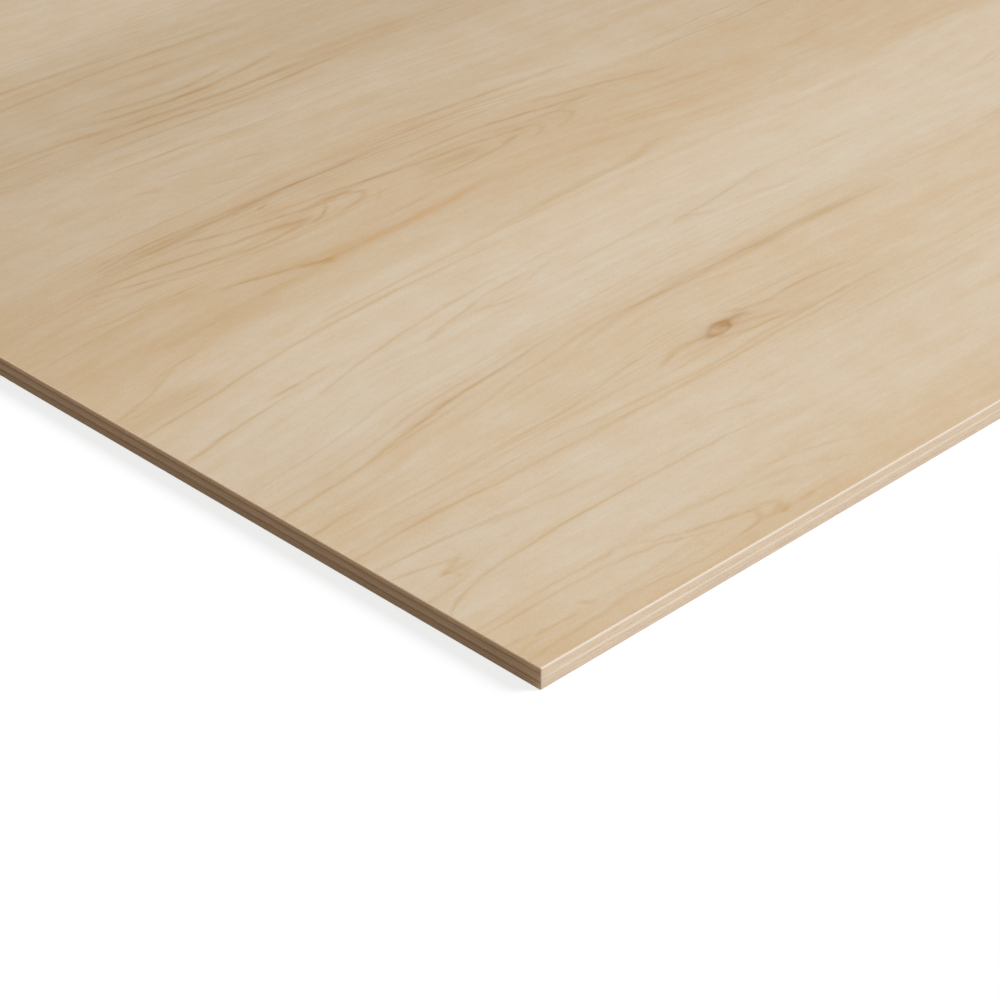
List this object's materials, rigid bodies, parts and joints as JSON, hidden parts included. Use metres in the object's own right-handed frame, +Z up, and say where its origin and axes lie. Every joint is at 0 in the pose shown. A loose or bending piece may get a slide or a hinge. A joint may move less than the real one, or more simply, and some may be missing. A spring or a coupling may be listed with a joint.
{
  "type": "plywood sheet",
  "caption": "Full flat sheet of plywood with a pale wood face, banded veneer edges and lightly eased arrises and corners.",
  "frame": {"origin": "middle of the underside, on the floor that the sheet lies on", "axes": "+X along the sheet's length and its face grain, +Y across its width, +Z up through its thickness to the face veneer"},
  "size_m": [2.44, 1.22, 0.018],
  "materials": {
    "face_veneer": "sanded, satin",
    "crossband": "sawn edge, matte",
    "core_veneer": "sawn edge, matte",
    "back_veneer": "lightly sanded, matte"
  },
  "bodies": {
    "root": {"face_veneer": "face_veneer", "upper_crossband": "crossband", "core_veneer": "core_veneer", "lower_crossband": "crossband", "back_veneer": "back_veneer"}
  },
  "joints": []
}
